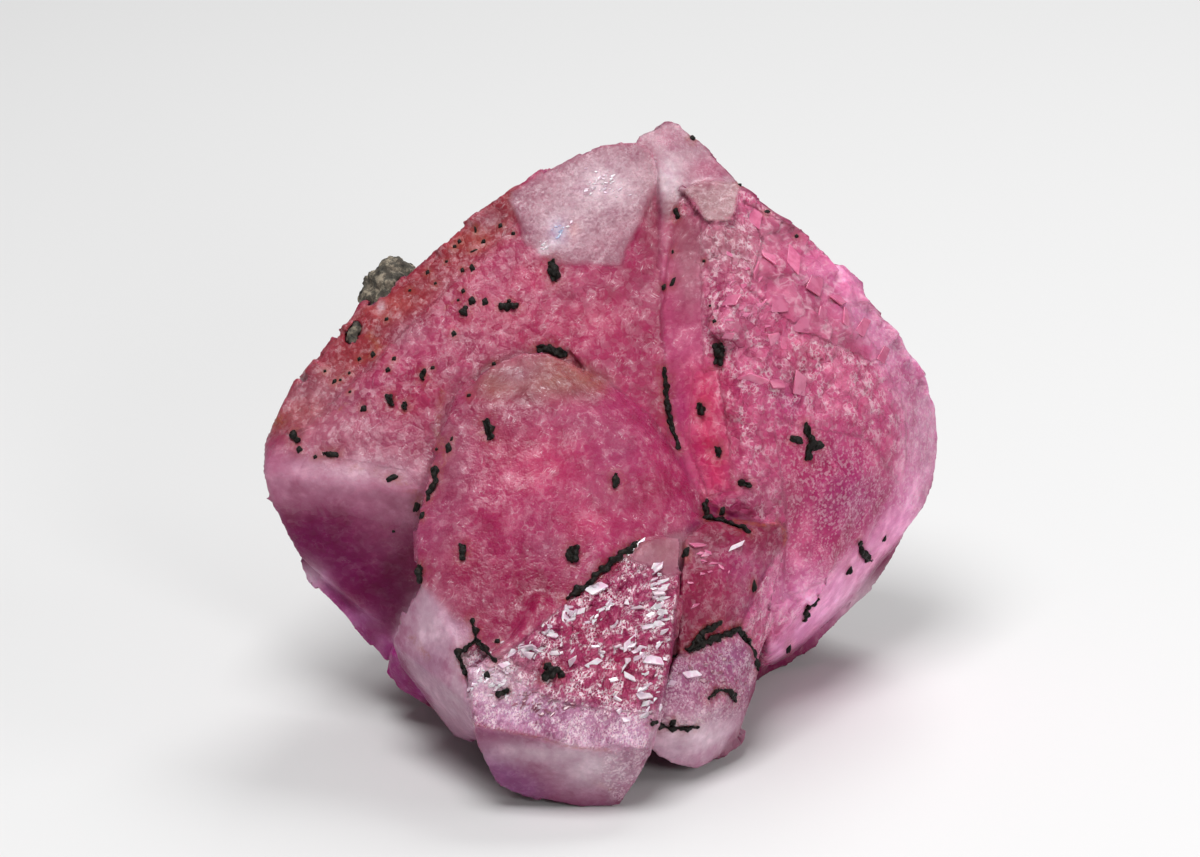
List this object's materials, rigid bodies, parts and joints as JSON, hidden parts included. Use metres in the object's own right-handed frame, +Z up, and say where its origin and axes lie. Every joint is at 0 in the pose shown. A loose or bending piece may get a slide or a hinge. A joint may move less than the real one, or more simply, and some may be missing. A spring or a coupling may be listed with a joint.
{
  "type": "cobaltoan calcite specimen",
  "caption": "Cluster of intergrown pink calcite crystals that stands on its broken base, with dark crystals seated in the faces and a lump of host rock behind.",
  "frame": {"origin": "on the resting plane, under the middle of the specimen's box", "axes": "+Z up as it rests, +X across the display side to the right, -Y out of the display side"},
  "size_m": [0.0682, 0.0544, 0.0562],
  "materials": {
    "pink_calcite": "satin",
    "dark_crystal": "satin",
    "host_rock": "matte"
  },
  "bodies": {
    "root": {"calcite_cluster": "pink_calcite", "dark_crust": "dark_crystal", "dark_crystal_01": "dark_crystal", "dark_crystal_02": "dark_crystal", "dark_crystal_03": "dark_crystal", "dark_crystal_04": "dark_crystal", "dark_crystal_05": "dark_crystal", "dark_crystal_06": "dark_crystal", "dark_crystal_07": "dark_crystal", "dark_crystal_08": "dark_crystal", "dark_crystal_09": "dark_crystal", "dark_crystal_10": "dark_crystal", "dark_crystal_11": "dark_crystal", "dark_crystal_12": "dark_crystal", "dark_crystal_13": "dark_crystal", "dark_crystal_14": "dark_crystal", "dark_crystal_15": "dark_crystal", "dark_crystal_16": "dark_crystal", "dark_crystal_17": "dark_crystal", "dark_crystal_18": "dark_crystal", "dark_crystal_19": "dark_crystal", "dark_crystal_20": "dark_crystal", "dark_run_01": "dark_crystal", "dark_run_02": "dark_crystal", "dark_run_03": "dark_crystal", "dark_run_04": "dark_crystal", "dark_run_05": "dark_crystal", "dark_run_06": "dark_crystal", "dark_run_07": "dark_crystal", "dark_run_08": "dark_crystal", "dark_run_09": "dark_crystal", "dark_run_10": "dark_crystal", "dark_run_11": "dark_crystal", "dark_run_12": "dark_crystal", "dark_run_13": "dark_crystal", "host_rock": "host_rock", "host_rock_chip": "host_rock"}
  },
  "joints": []
}
